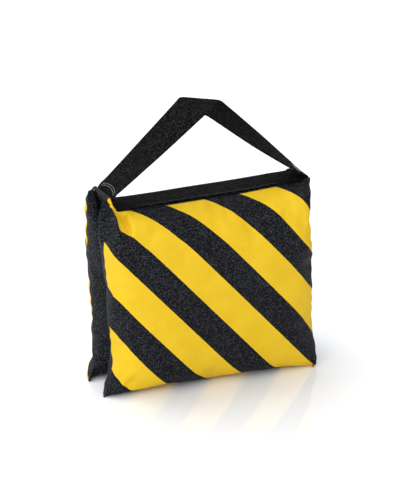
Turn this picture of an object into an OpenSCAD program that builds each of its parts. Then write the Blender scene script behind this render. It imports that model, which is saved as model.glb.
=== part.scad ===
// Saddle sandbag for light stands: two sand pouches hung from one webbing ridge, with a carrying handle.
// +X runs along the ridge, the front pouch is on the -Y side, and the floor is at z = 0.

/* [Pouches] */
// Width across the side seams at mid height
pouch_w = 250; // [220:1:280]
// How much further out the bottom corners reach than the sides do
corner_reach = 8; // [0:1:14]
// Distance from the middle of the bag to the side and bottom seams of a pouch
seam_y = 32; // [30:1:40]
// Distance from the seams to the bulging outer face
outer_bulge = 32; // [24:1:40]
// Thickness of the pouch fabric
fabric_t = 1; // [0.8:0.1:1.2]

/* [Ridge] */
// Height of the webbing ridge above the floor
ridge_h = 216; // [200:1:240]
// Width of the ridge and handle webbing
webbing_w = 50; // [44:1:56]
// Thickness of the webbing
webbing_t = 1.8; // [1.4:0.1:2.0]
// Distance across the two upturned ends of the ridge webbing
ridge_l = 246; // [230:1:250]
// Height to which the ends of the ridge webbing turn up
upturn_h = 14; // [10:1:15]

/* [Handle] */
// Height of the handle's top above the ridge
handle_rise = 108; // [90:1:130]
// Length of the flat top of the handle
handle_top = 36; // [20:1:50]

/* [Zips] */
// Distance from the ridge seam down to the middle of the zip
zip_drop = 20; // [18:1:22]
// Travel of the slider from closed to open
zip_travel = 190; // [150:1:200]
// Length of the pull tab
pull_l = 24; // [18:1:26]

/* [Hidden] */
$fn = 48;
tiny = 0.001;

// ---- shared positions -----------------------------------------------------------------------
seam_top = [-webbing_w / 2, ridge_h - webbing_t - 1.2]; // [y, z] of the front pouch's upper seam
slope_foot = [-5, ridge_h - 44];                       // where the tunnel wall ends
slope = slope_foot - seam_top;
slope_l = norm(slope);
slope_angle = atan2(-slope[1], slope[0]);              // of the tunnel wall below the horizontal
hinge_gap = 0.6;                                       // between ridge lining and pouch seam
touch_gap = 1.5;                                       // from the middle to a pouch's inner face
blend_h = 48;                                          // height over which the side seam bends to the ridge
slider_x = zip_travel / 2;                             // the closed end

// Outline of the outer face in the y-z plane, from the ridge seam over the shoulder to the bottom seam
outer_y = seam_y + outer_bulge;
outer_outline = [
    seam_top,
    [-36, ridge_h - 6.5],
    [-48, ridge_h - 12.5],
    [-57.5, ridge_h - 22],
    [-outer_y + 2, ridge_h - 38],
    [-outer_y, ridge_h - 60],
    [-outer_y - 0.3, ridge_h * 0.5],
    [-outer_y + 0.6, ridge_h * 0.25],
    [-outer_y + 2.5, 28],
    [-outer_y + 6.5, 11],
    [-outer_y + 14, 1.5],
    [-44, 0],
    [-seam_y, 0]
];

// Outline of the inner face: the straight tunnel wall with the zip, then the face towards the other pouch
inner_outline = [
    seam_top,
    seam_top + slope * 0.25,
    seam_top + slope * 0.5,
    seam_top + slope * 0.75,
    slope_foot,
    [-2.4, ridge_h - 60],
    [-touch_gap, ridge_h - 82],
    [-touch_gap, ridge_h * 0.42],
    [-touch_gap - 0.8, ridge_h * 0.22],
    [-touch_gap - 3.5, 20],
    [-10, 6],
    [-19, 0],
    [-seam_y, 0]
];

// ---- curve and skin functions ---------------------------------------------------------------
function blend(x) = let (c = min(1, max(0, x))) c * c * (3 - 2 * c);

// Catmull-Rom curve through the points, at t from 0 to 1
function spline(pts, t) =
    let (last = len(pts) - 1, s = min(last - tiny, max(0, t * last)), i = floor(s), f = s - i,
         a = i > 0 ? pts[i - 1] : 2 * pts[0] - pts[1], b = pts[i], c = pts[i + 1],
         d = i + 2 <= last ? pts[i + 2] : 2 * pts[last] - pts[last - 1])
    0.5 * (2 * b + (c - a) * f + (2 * a - 5 * b + 4 * c - d) * f * f + (3 * b - a - 3 * c + d) * f * f * f);

// Height-dependent shape of the side seam
function half_w(z) =
    let (low = 1 - blend(z / 70), high = blend((z - ridge_h + 70) / 70))
    pouch_w / 2 + corner_reach * low - 3 * high;
function side_seam_y(z) = -seam_y + (seam_top[0] + seam_y) * blend((z - ridge_h + blend_h) / blend_h);
function fullness(u, z) =
    let (power = 5 + 15 * blend((z - ridge_h + 96) / 56) + 3 * blend(1 - z / 60))
    sqrt(max(0, 1 - pow(abs(u), power)));

// Normal of an outline at t, pointing out of the pouch; side is 1 on the outer face, -1 on the inner face
function outline_normal(outline, side, t) =
    let (e = 0.004, d = spline(outline, min(1, t + e)) - spline(outline, max(0, t - e)))
    side * [d[1], -d[0]] / norm(d);

// Point at a depth inside a pouch's skin: k runs from -1 at the left seam to 1 at the right,
// and t from 0 to 1 down the outline
function skin(outline, side, k, t, depth) =
    let (p = spline(outline, t) - depth * outline_normal(outline, side, t), u = sin(90 * k),
         y0 = side_seam_y(p[1]))
    [u * (half_w(p[1]) - depth), y0 + fullness(u, p[1]) * (p[0] - y0), max(depth, p[1])];

function skin_grid(outline, side, ks, ts, depth) =
    [for (t = ts) [for (k = ks) skin(outline, side, k, t, depth)]];

function steps(from, to, n) = [for (i = [0:n]) from + (to - from) * i / n];

// ---- solids from grids ----------------------------------------------------------------------
function quad(a, b, c, d) = [[a, b, c], [a, c, d]];

// Closed sheet between two grids of points with the same rows and columns
module sheet(top, under) {
    rows = len(top);
    cols = len(top[0]);
    n = rows * cols;
    points = concat([for (row = top) each row], [for (row = under) each row]);
    faces = concat(
        [for (i = [0:rows - 2], j = [0:cols - 2])
            let (a = i * cols + j) each quad(a, a + 1, a + cols + 1, a + cols)],
        [for (i = [0:rows - 2], j = [0:cols - 2])
            let (a = n + i * cols + j) each quad(a, a + cols, a + cols + 1, a + 1)],
        [for (j = [0:cols - 2]) each quad(j, n + j, n + j + 1, j + 1)],
        [for (j = [0:cols - 2])
            let (a = (rows - 1) * cols + j) each quad(a, a + 1, n + a + 1, n + a)],
        [for (i = [0:rows - 2])
            let (a = i * cols) each quad(a, a + cols, n + a + cols, n + a)],
        [for (i = [0:rows - 2])
            let (a = i * cols + cols - 1) each quad(a, n + a, n + a + cols, a + cols)]
    );
    polyhedron(points, faces);
}

// Closed body through rings of points, capped flat at both ends
module loft(rings) {
    n = len(rings[0]);
    last = len(rings) - 1;
    points = concat([for (ring = rings) each ring],
        [for (ring = [rings[0], rings[last]]) [for (p = ring) 1] * ring / n]);
    faces = concat(
        [for (i = [0:last - 1], j = [0:n - 1])
            let (a = i * n + j, b = i * n + (j + 1) % n) each quad(a, b, b + n, a + n)],
        [for (j = [0:n - 1]) [len(rings) * n, (j + 1) % n, j]],
        [for (j = [0:n - 1]) [len(rings) * n + 1, last * n + j, last * n + (j + 1) % n]]
    );
    polyhedron(points, faces);
}

// A layer of the front pouch between two depths inside its skin
module layer(outline, side, ks, ts, from_depth, to_depth) {
    top = skin_grid(outline, side, ks, ts, from_depth);
    under = skin_grid(outline, side, ks, ts, to_depth);
    if (side > 0) sheet(top, under); else sheet(under, top);
}

// ---- pouch fabric ---------------------------------------------------------------------------
fine = steps(-1, 1, 18);
coarse = steps(-1, 1, 12);

// Distance down the tunnel wall, in mm, as a position along the inner outline
function wall_t(s) = s / slope_l * 4 / 12;

strip_start_s = 1.2;                 // clear of the outer panel's upper edge
zip_strip_s = zip_drop - 6;
zip_panel_s = zip_drop + 6;

module outer_panel() {
    color("gold") layer(outer_outline, 1, fine, steps(0, 1, 15), 0, fabric_t);
}

module inner_strip() {
    ts = steps(wall_t(strip_start_s), wall_t(zip_strip_s), 2);
    color("#2b2b2e") layer(inner_outline, -1, fine, ts, 0, fabric_t);
}

module inner_panel() {
    color("#2b2b2e") layer(inner_outline, -1, fine, steps(wall_t(zip_panel_s), 1, 11), 0, fabric_t);
}

// Narrow tape bound over the raw edges, along both sides and the bottom, inside the pouch
binding_w = 3.6;
binding_depth = fabric_t + 0.8;
binding_t = 1.4;

function seam_point(k, t, inset) =
    let (z = max(inset, spline(outer_outline, t)[1]))
    [k * (half_w(z) - inset), side_seam_y(z), z];

function seam_ring(path, inset) = [for (p = path) seam_point(p[0], p[1], inset)];

module seam_binding() {
    path = concat(
        [for (t = steps(0.34, 0.93, 12)) [-1, t]],
        [for (k = steps(-0.97, 0.97, 12)) [k, 1]],
        [for (t = steps(0.93, 0.34, 12)) [1, t]]
    );
    edge = seam_ring(path, binding_depth);
    inner = seam_ring(path, binding_depth + binding_w);
    across = [0, binding_t / 2, 0];
    color("#1d1d20") loft([for (i = [0:len(path) - 1])
        [edge[i] - across, inner[i] - across, inner[i] + across, edge[i] + across]]);
}

// ---- liner bag and sand ---------------------------------------------------------------------
liner_depth = 6.8;
liner_t = 0.6;
liner_ts = steps(0.16, 1, 11);
closure_depth = liner_depth + liner_t + 0.1;
closure_t = 1.2;
closure_ks = [for (i = [2:len(coarse) - 3]) coarse[i]];
closure_ts = [liner_ts[1], liner_ts[2]];
sand_depth = liner_depth + liner_t + 1;

module liner_sheet(outline, side) {
    color("#3a3a3e") layer(outline, side, coarse, liner_ts, liner_depth, liner_depth + liner_t);
}

module liner_front() {
    liner_sheet(outer_outline, 1);
}

module liner_back() {
    liner_sheet(inner_outline, -1);
}

module closure(outline, side) {
    color("#151517") layer(outline, side, closure_ks, closure_ts, closure_depth, closure_depth + closure_t);
}

module liner_hook_strip() {
    closure(outer_outline, 1);
}

module liner_loop_strip() {
    closure(inner_outline, -1);
}

// Sand lying in the liner, on the same grid as the liner so that the two faces stay apart
module sand_fill() {
    ks = [for (i = [1:len(coarse) - 2]) coarse[i]];
    last = len(liner_ts) - 1;
    front_ts = [for (i = [3:last]) liner_ts[i]];
    back_ts = [for (i = [last - 1:-1:3]) liner_ts[i]];
    color("tan") loft([for (k = ks) concat(
        [for (t = front_ts) skin(outer_outline, 1, k, t, sand_depth)],
        [for (t = back_ts) skin(inner_outline, -1, k, t, sand_depth)]
    )]);
}

// ---- zip ------------------------------------------------------------------------------------
tape_t = 0.7;
tape_w = 14;
coil_w = 2.7;
coil_t = 2;
coil_gap = 1.4;                      // between the two rows, for the slider's post
coil_l = zip_travel + 24;
tape_depth = fabric_t + 0.3;
tape_ks = steps(-0.9, 0.9, 16);
coil_base = -tape_depth + 0.1;       // height of the coils' base out of the tunnel wall

// Places a child drawn with x along the zip, y down the tunnel wall and z out of it
module on_wall(s) {
    translate([0, seam_top[0], seam_top[1]]) rotate([-slope_angle, 0, 0]) translate([0, s, 0]) children();
}

module zip_tape(from_s) {
    color("#141416") layer(inner_outline, -1, tape_ks, steps(wall_t(from_s), wall_t(from_s + tape_w), 2),
        tape_depth, tape_depth + tape_t);
}

module zip_tape_upper() {
    zip_tape(zip_drop - coil_gap / 2 - tape_w);
}

module zip_tape_lower() {
    zip_tape(zip_drop + coil_gap / 2);
}

module zip_coil(from_s) {
    color("#101012") on_wall(from_s) translate([-coil_l / 2, 0, coil_base])
        cube([coil_l, coil_w, coil_t]);
}

module zip_coil_upper() {
    zip_coil(zip_drop - coil_gap / 2 - coil_w);
}

module zip_coil_lower() {
    zip_coil(zip_drop + coil_gap / 2);
}

module zip_stops() {
    color("silver") for (end = [-1, 1])
        on_wall(zip_drop) translate([end * (coil_l / 2 + 1.3), 0, coil_base + coil_t / 2])
            cube([2.2, 2 * coil_w, coil_t], center = true);
}

plate = [15, 10.4, 1.4];
plate_clear = 0.3;
lower_clear = 0.9;                   // more below, where the tapes curve away towards their ends
upper_plate_z = coil_base + coil_t + plate_clear;      // underside of the upper plate
lower_plate_z = -tape_depth - tape_t - lower_clear;    // upper side of the lower plate
pin_z = upper_plate_z + plate[2] + 2;
pin_r = 0.8;
pin_clear = 0.08;
lug_gap = 3.8;
lug_w = 1.2;
knuckle_w = 3.2;
knuckle_r = 1.7;

module slider_plate() {
    translate([-plate[0] / 2, -plate[1] / 2, 0]) cube(plate);
}

module zip_slider() {
    post_l = upper_plate_z - lower_plate_z + 0.4;
    color("dimgray") on_wall(zip_drop) translate([slider_x, 0, 0]) {
        translate([0, 0, upper_plate_z]) slider_plate();
        translate([0, 0, lower_plate_z - plate[2]]) slider_plate();
        translate([5.4, 0, (upper_plate_z + lower_plate_z) / 2])
            cube([3, coil_gap - 0.5, post_l], center = true);
        for (y = [-1, 1] * (lug_gap + lug_w) / 2) {
            translate([0, y, pin_z]) rotate([90, 0, 0]) cylinder(r = 1.5, h = lug_w, center = true);
            translate([0, y, pin_z - 1]) cube([3, lug_w, 2], center = true);
        }
        translate([0, 0, pin_z]) rotate([90, 0, 0])
            cylinder(r = pin_r, h = lug_gap + lug_w, center = true);
    }
}

module zip_pull() {
    tab_t = 1.4;
    tab_w = 8;
    neck_l = 8;
    color("dimgray") on_wall(zip_drop) translate([slider_x, 0, pin_z]) difference() {
        union() {
            rotate([90, 0, 0]) cylinder(r = knuckle_r, h = knuckle_w, center = true);
            translate([-neck_l, -knuckle_w / 2, -tab_t / 2]) cube([neck_l, knuckle_w, tab_t]);
            translate([-pull_l, -tab_w / 2, -tab_t / 2]) cube([pull_l - neck_l + 1, tab_w, tab_t]);
        }
        rotate([90, 0, 0]) cylinder(r = pin_r + pin_clear, h = knuckle_w + 1, center = true);
        translate([-pull_l + 4, 0, 0]) cylinder(r = 1.6, h = 4, center = true);
    }
}

// ---- ridge and handle -----------------------------------------------------------------------
bend_r = 6;                                        // where the ridge webbing turns up
foot_h = 21;                                       // height above the ridge at which the handle starts
foot_x = ridge_l / 2 - 5;                          // just inboard of the upturned ends

// Sweeps an outline in the x-z plane over the width of the webbing
module webbing() {
    rotate([90, 0, 0]) linear_extrude(webbing_w, center = true) children();
}

module upturned_end() {
    centre = [ridge_l / 2 - bend_r, bend_r];
    intersection() {
        translate(centre) difference() {
            circle(r = bend_r);
            circle(r = bend_r - webbing_t);
        }
        translate([centre[0], 0]) square(bend_r);
    }
    translate([ridge_l / 2 - webbing_t, bend_r - tiny])
        square([webbing_t, webbing_t + upturn_h - bend_r]);
}

module ridge_webbing() {
    flat_l = ridge_l - 2 * bend_r + tiny;
    color("#1b1b1e") translate([0, 0, ridge_h - webbing_t]) webbing() {
        translate([-flat_l / 2, 0]) square([flat_l, webbing_t]);
        for (side = [0, 1]) mirror([side, 0]) upturned_end();
    }
}

// Fabric that joins the two pouches under the webbing
module bridge_lining() {
    size = [ridge_l - 14, -2 * (seam_top[0] + hinge_gap), fabric_t];
    color("#2b2b2e") translate([-size[0] / 2, -size[1] / 2, ridge_h - webbing_t - 0.05 - size[2]])
        cube(size);
}

// Box stitch that holds the webbing down, as separate lengths of thread
thread_r = 0.35;
tack = [26, 38];
stitch_l = 3.2;
stitch_pitch = 4.4;

module stitch_row(from, to) {
    run = to - from;
    count = max(1, round(norm(run) / stitch_pitch));
    turn = atan2(run[1], run[0]);
    for (i = [0:count - 1]) translate(from + run * (i + 0.5) / count)
        rotate([0, 0, turn]) rotate([0, 90, 0]) cylinder(r = thread_r, h = stitch_l, center = true, $fn = 16);
}

module tack_thread() {
    corners = [[0, -tack[1] / 2], [tack[0], -tack[1] / 2], [tack[0], tack[1] / 2], [0, tack[1] / 2]];
    color("#4a4a4e") translate([ridge_l / 2 - 44, 0, ridge_h + thread_r + 0.02])
        for (i = [0:3]) stitch_row(corners[i], corners[(i + 1) % 4]);
}

module tack_thread_right() {
    tack_thread();
}

module tack_thread_left() {
    mirror([1, 0, 0]) tack_thread();
}

// Handle loop: two straight legs and a flat top
function leg_outline(inset) =
    let (foot = [foot_x, ridge_h + foot_h], top = [handle_top / 2, ridge_h + handle_rise],
         run = foot[0] - top[0], rise = top[1] - foot[1], leg = norm([run, rise]))
    [foot - [0, inset * leg / run], top - inset * [(leg - run) / rise, 1]];

module handle_webbing() {
    outside = leg_outline(0);
    inside = leg_outline(webbing_t);
    color("#1b1b1e") webbing() polygon(concat(
        outside,
        [for (i = [1:-1:0]) [-outside[i][0], outside[i][1]]],
        [for (p = inside) [-p[0], p[1]]],
        [for (i = [1:-1:0]) inside[i]]
    ));
}

// ---- assembly -------------------------------------------------------------------------------
sides = ["front", "rear"];
pouch_parts = [
    "outer_panel", "inner_strip", "inner_panel", "seam_binding", "liner_front", "liner_back",
    "liner_hook_strip", "liner_loop_strip", "sand_fill", "zip_tape_upper", "zip_tape_lower",
    "zip_coil_upper", "zip_coil_lower", "zip_stops", "zip_slider", "zip_pull"
];

// The rear pouch is the front one mirrored through the middle of the bag
module place(side) {
    mirror([0, side == "rear" ? 1 : 0, 0]) children();
}

module pouch_part(part) {
    if (part == "outer_panel") outer_panel();
    if (part == "inner_strip") inner_strip();
    if (part == "inner_panel") inner_panel();
    if (part == "seam_binding") seam_binding();
    if (part == "liner_front") liner_front();
    if (part == "liner_back") liner_back();
    if (part == "liner_hook_strip") liner_hook_strip();
    if (part == "liner_loop_strip") liner_loop_strip();
    if (part == "sand_fill") sand_fill();
    if (part == "zip_tape_upper") zip_tape_upper();
    if (part == "zip_tape_lower") zip_tape_lower();
    if (part == "zip_coil_upper") zip_coil_upper();
    if (part == "zip_coil_lower") zip_coil_lower();
    if (part == "zip_stops") zip_stops();
    if (part == "zip_slider") zip_slider();
    if (part == "zip_pull") zip_pull();
}

ridge_webbing();
bridge_lining();
tack_thread_left();
tack_thread_right();
handle_webbing();
for (side = sides, part = pouch_parts)
    place(side) pouch_part(part);
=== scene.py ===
import math
import bpy
import bmesh
import numpy as np
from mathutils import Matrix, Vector, noise


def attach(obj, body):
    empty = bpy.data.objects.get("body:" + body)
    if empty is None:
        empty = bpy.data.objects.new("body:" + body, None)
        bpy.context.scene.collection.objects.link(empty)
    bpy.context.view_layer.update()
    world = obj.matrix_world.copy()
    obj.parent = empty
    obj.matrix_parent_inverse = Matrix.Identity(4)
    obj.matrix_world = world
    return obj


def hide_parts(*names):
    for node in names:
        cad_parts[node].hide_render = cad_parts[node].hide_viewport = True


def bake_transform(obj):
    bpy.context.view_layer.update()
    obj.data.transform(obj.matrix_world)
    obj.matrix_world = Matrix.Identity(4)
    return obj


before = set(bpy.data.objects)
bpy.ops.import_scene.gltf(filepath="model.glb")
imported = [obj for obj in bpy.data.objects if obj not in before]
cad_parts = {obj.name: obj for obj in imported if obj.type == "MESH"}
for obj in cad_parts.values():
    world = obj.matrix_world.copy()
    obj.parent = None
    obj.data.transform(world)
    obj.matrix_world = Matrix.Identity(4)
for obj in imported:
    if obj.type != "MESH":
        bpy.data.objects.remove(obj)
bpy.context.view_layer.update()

MM = 0.001
H = 216.0                                  # height of the ridge, in mm
SIDES = {"front": 1, "rear": -1}           # pouches are drawn in front; y times this puts them in place

# ---- camera ---------------------------------------------------------------------------------
AZIMUTH, ELEVATION = math.radians(-22.0), math.radians(20.5)
DISTANCE = 3.2
VIEW_HEIGHT = 0.578                        # metres that the frame's long side covers at the object
AIM_RIGHT, AIM_UP = -0.0012, -0.0662       # the frame's middle, from the ridge's middle
SENSOR = 36


def add_camera():
    right = Vector((math.cos(AZIMUTH), math.sin(AZIMUTH), 0))
    back = Vector((math.sin(AZIMUTH) * math.cos(ELEVATION), -math.cos(AZIMUTH) * math.cos(ELEVATION),
                   math.sin(ELEVATION)))
    up = back.cross(right)
    target = Vector((0, 0, H * MM)) + right * AIM_RIGHT + up * AIM_UP
    cam = bpy.data.objects.new("camera", bpy.data.cameras.new("camera"))
    bpy.context.collection.objects.link(cam)
    cam.data.sensor_width = SENSOR
    cam.data.lens = SENSOR * DISTANCE / VIEW_HEIGHT
    cam.data.clip_end = 50
    cam.location = target + back * DISTANCE
    cam.rotation_mode = "QUATERNION"
    cam.rotation_quaternion = back.to_track_quat("Z", "Y")
    bpy.context.scene.camera = cam


add_camera()

# ---- node material helpers ------------------------------------------------------------------


class Nodes:
    """Short calls for building a material's node tree."""

    def __init__(self, name):
        self.mat = bpy.data.materials.new(name)
        self.mat.use_nodes = True
        self.tree = self.mat.node_tree
        self.tree.nodes.clear()
        self.out = self.add("ShaderNodeOutputMaterial")
        self.bsdf = self.add("ShaderNodeBsdfPrincipled")
        self.tree.links.new(self.bsdf.outputs[0], self.out.inputs[0])

    def add(self, kind, **props):
        n = self.tree.nodes.new(kind)
        for k, v in props.items():
            setattr(n, k, v)
        return n

    def put(self, socket, value):
        if isinstance(value, bpy.types.NodeSocket):
            self.tree.links.new(value, socket)
        else:
            socket.default_value = value

    def set(self, **values):
        for k, v in values.items():
            self.put(self.bsdf.inputs[k.replace("_", " ")], v)

    def math(self, op, a, b=0.0, c=0.0):
        n = self.add("ShaderNodeMath", operation=op)
        for i, v in enumerate((a, b, c)):
            self.put(n.inputs[i], v)
        return n.outputs[0]

    def noise(self, vector, scale, detail=2.0, roughness=0.5):
        n = self.add("ShaderNodeTexNoise")
        self.put(n.inputs["Vector"], vector)
        n.inputs["Scale"].default_value = scale
        n.inputs["Detail"].default_value = detail
        n.inputs["Roughness"].default_value = roughness
        return n.outputs[0]

    def ramp(self, value, low, high, to_low=0.0, to_high=1.0):
        n = self.add("ShaderNodeMapRange", interpolation_type="SMOOTHSTEP")
        for i, v in enumerate((value, low, high, to_low, to_high)):
            self.put(n.inputs[i], v)
        return n.outputs[0]

    def mix(self, factor, a, b):
        n = self.add("ShaderNodeMix", data_type="RGBA")
        self.put(n.inputs[0], factor)
        self.put(n.inputs[6], a)
        self.put(n.inputs[7], b)
        return n.outputs[2]

    def uv(self, name):
        sep = self.add("ShaderNodeSeparateXYZ")
        n = self.add("ShaderNodeUVMap", uv_map=name)
        self.put(sep.inputs[0], n.outputs[0])
        return n.outputs[0], sep.outputs[0], sep.outputs[1]

    def yarns(self, u, v, wide, high):
        """A random value for each yarn crossing of that size in mm, the rows offset like brickwork."""
        row = self.math("FLOOR", self.math("DIVIDE", v, high))
        shift = self.math("MULTIPLY", row, 0.38)
        col = self.math("FLOOR", self.math("ADD", self.math("DIVIDE", u, wide), shift))
        xyz = self.add("ShaderNodeCombineXYZ")
        self.put(xyz.inputs[0], col)
        self.put(xyz.inputs[1], row)
        n = self.add("ShaderNodeTexWhiteNoise")
        self.put(n.inputs["Vector"], xyz.outputs[0])
        return n.outputs[0]

    def bump(self, height, distance, strength=1.0, normal=None):
        n = self.add("ShaderNodeBump")
        n.inputs["Strength"].default_value = strength
        n.inputs["Distance"].default_value = distance
        self.put(n.inputs["Height"], height)
        if normal is not None:
            self.put(n.inputs["Normal"], normal)
        return n.outputs[0]


def plain_weave(n, u, v, pitch):
    """Height of a plain weave with that pitch in mm: over-and-under crowns along both directions."""
    a = n.math("SINE", n.math("MULTIPLY", u, math.pi / pitch))
    b = n.math("SINE", n.math("MULTIPLY", v, math.pi / pitch))
    warp = n.math("ABSOLUTE", a)
    weft = n.math("ABSOLUTE", b)
    over = n.math("GREATER_THAN", n.math("MULTIPLY", a, b), 0.0)
    both = n.add("ShaderNodeMix", data_type="FLOAT")
    n.put(both.inputs[0], over)
    n.put(both.inputs[2], warp)
    n.put(both.inputs[3], weft)
    return both.outputs[0]


# Stripes, in mm along the fabric: one black and one yellow together, and the yellow alone
PERIOD, YELLOW = 90.5, 47.0
STRIPE_EDGE = 0.35                         # how soft the printed edge is
FRONT_PHASE, REAR_PHASE = -55.9, -30.0
WEAVE_PITCH = 0.62

BLACK_YARN = ((0.0013, 0.0016, 0.0028, 1), (0.0024, 0.0028, 0.0044, 1))
# painted highlight: lighter yarns on the black, as if catching the light
BLACK_GLINT = (0.060, 0.065, 0.080, 1)
YELLOW_YARN = ((0.80, 0.515, 0.015, 1), (0.86, 0.565, 0.021, 1))
# painted highlight: lighter yarns on the yellow, as if catching the light
YELLOW_GLINT = (0.93, 0.66, 0.07, 1)
YELLOW_GAP_SHADE = (0.58, 0.34, 0.01, 1)         # painted shade between the yarns

# painted shade in the twill's hollows
WEBBING_HOLLOW_SHADE = (0.0010, 0.0010, 0.0012, 1)
WEBBING_TOP = ((0.0016, 0.0016, 0.0019, 1), (0.0028, 0.0028, 0.0032, 1))
# painted highlight on random yarns on the twill's crowns
WEBBING_CROWN_GLINT = (0.064, 0.064, 0.070, 1)


def stripe_mask(n, vec, phase, slant):
    """1 on the yellow stripes and 0 on the black ones, with a slightly wandering edge."""
    wobble = n.math("MULTIPLY", n.math("SUBTRACT", n.noise(vec, 0.25, 2.0), 0.5), 0.9)
    _, pu, pv = n.uv("pattern")
    across = n.math("ADD", n.math("SUBTRACT", n.math("MULTIPLY", pu, slant), pv), wobble)
    turn = n.math("FLOORED_MODULO", n.math("SUBTRACT", across, phase), PERIOD)
    begins = n.ramp(turn, 0.0, STRIPE_EDGE)
    ends = n.ramp(turn, YELLOW, YELLOW + STRIPE_EDGE, 1.0, 0.0)
    return n.math("MULTIPLY", begins, ends)


def fabric_material(name, phase=None, slant=1.0):
    """Coated polyester fabric: a plain weave with random yarns painted lighter as highlights, as if catching
    the light. With a phase it is striped, with painted shade between the yellow yarns.
    """
    n = Nodes(name)
    vec, u, v = n.uv("fabric")
    weave = plain_weave(n, u, v, WEAVE_PITCH)
    cloudy = n.noise(vec, 0.035, 3.0)
    slub = n.noise(vec, 0.32, 3.0, 0.6)
    tone = n.ramp(cloudy, 0.3, 0.7)
    # Painted highlights: random yarns painted lighter, most on the weave's crowns; the same yarns stand a
    # little proud in the bump
    glint_yarns = n.ramp(n.yarns(u, v, 0.95, 0.7), 0.66, 0.98)
    lit = n.math("MULTIPLY", glint_yarns, n.ramp(weave, 0.0, 0.7, 0.6, 1.0))
    colour = n.mix(lit, n.mix(tone, *BLACK_YARN), BLACK_GLINT)
    if phase is not None:
        yellow = n.mix(n.math("MULTIPLY", glint_yarns, 0.3), n.mix(tone, *YELLOW_YARN), YELLOW_GLINT)
        # Painted shade: the yellow darker where the weave is low, between the yarns
        yellow = n.mix(n.ramp(weave, 0.0, 0.4, 0.25, 0.0), yellow, YELLOW_GAP_SHADE)
        colour = n.mix(stripe_mask(n, vec, phase, slant), colour, yellow)
    rough = n.ramp(slub, 0.3, 0.7, 0.56, 0.68)
    soft = n.bump(n.math("ADD", slub, n.math("MULTIPLY", cloudy, 2.0)), 0.0005, 0.35)
    height = n.math("ADD", weave, n.math("MULTIPLY", glint_yarns, 0.8))
    normal = n.bump(height, 0.00018, 0.6, soft)
    n.set(Base_Color=colour, Roughness=rough, Normal=normal, Specular_IOR_Level=0.12)
    return n.mat


def webbing_material(name):
    """Heavy black webbing: a coarse herringbone twill, its hollows painted darker as shade and random fuzzy
    yarns on its crowns painted lighter as highlights.
    """
    n = Nodes(name)
    vec, u, v = n.uv("fabric")
    slanted = n.math("ADD", v, n.math("PINGPONG", u, 6.25))
    twill = n.ramp(n.math("SINE", n.math("MULTIPLY", slanted, 2 * math.pi / 1.9)), -0.7, 0.9)
    rib = n.math("ABSOLUTE", n.math("SINE", n.math("MULTIPLY", u, math.pi / 1.25)))
    height = n.math("ADD", n.math("MULTIPLY", rib, 0.35), n.math("MULTIPLY", twill, 0.65))
    fuzz = n.noise(vec, 0.85, 2.0, 0.65)
    cloudy = n.noise(vec, 0.06, 2.0)
    yarn = n.ramp(n.yarns(u, slanted, 0.9, 1.0), 0.67, 0.98)
    top = n.mix(n.ramp(cloudy, 0.3, 0.7), *WEBBING_TOP)
    # Painted shade: darker where the twill is low
    colour = n.mix(n.ramp(height, 0.15, 0.75), WEBBING_HOLLOW_SHADE, top)
    # Painted highlights: random fuzzy yarns on the crowns painted lighter
    fuzzy = n.math("MULTIPLY", yarn, n.ramp(fuzz, 0.3, 0.6, 0.35, 1.0))
    crown = n.math("MULTIPLY", fuzzy, n.ramp(twill, 0.1, 0.8, 0.15, 1.0))
    colour = n.mix(crown, colour, WEBBING_CROWN_GLINT)
    normal = n.bump(height, 0.0005, 0.7, n.bump(fuzz, 0.0004, 0.4))
    n.set(Base_Color=colour, Roughness=n.ramp(fuzz, 0.3, 0.7, 0.68, 0.85), Normal=normal)
    n.set(Specular_IOR_Level=0.03)
    return n.mat


def object_material(name, dark, light, rough, metallic=0.0, scale=900.0, bump=0.0001):
    """Small trim and metal: two tones of grain in object space."""
    n = Nodes(name)
    coord = n.add("ShaderNodeTexCoord").outputs["Object"]
    grain = n.noise(coord, scale, 3.0, 0.6)
    wear = n.noise(coord, scale * 0.12, 2.0)
    colour = n.mix(n.ramp(grain, 0.3, 0.7), dark, light)
    n.set(Base_Color=colour, Metallic=metallic)
    n.set(Roughness=n.ramp(wear, 0.3, 0.7, rough - 0.06, rough + 0.08))
    n.set(Normal=n.bump(grain, bump, 0.5))
    return n.mat


MAT = {
    "front_stripes": fabric_material("striped_fabric_front", FRONT_PHASE),
    "rear_stripes": fabric_material("striped_fabric_rear", REAR_PHASE, -1.0),
    "black": fabric_material("black_fabric"),
    "webbing": webbing_material("webbing"),
    "thread": object_material("thread", (0.02, 0.02, 0.022, 1), (0.07, 0.07, 0.075, 1), 0.55),
    "pale_thread": object_material("pale_thread", (0.30, 0.30, 0.22, 1), (0.52, 0.52, 0.42, 1), 0.6),
    "coil": object_material("zip_coil", (0.008, 0.008, 0.009, 1), (0.02, 0.02, 0.021, 1), 0.4),
    "metal": object_material("zip_metal", (0.02, 0.02, 0.021, 1), (0.05, 0.05, 0.052, 1),
                             0.32, 0.85, 1500.0),
    "liner": object_material("liner_fabric", (0.03, 0.03, 0.033, 1), (0.06, 0.06, 0.065, 1), 0.5),
    "hooks": object_material("hook_and_loop", (0.006, 0.006, 0.007, 1), (0.03, 0.03, 0.03, 1),
                             0.9, 0, 1500, 0.0005),
    "sand": object_material("sand", (0.28, 0.2, 0.12, 1), (0.62, 0.5, 0.34, 1), 0.9, 0, 1800, 0.0006),
}

# ---- shape functions, in mm -----------------------------------------------------------------


def smooth(x):
    """0 below 0, 1 above 1, and an even rise between."""
    x = np.clip(x, 0.0, 1.0)
    return x * x * (3 - 2 * x)


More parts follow.
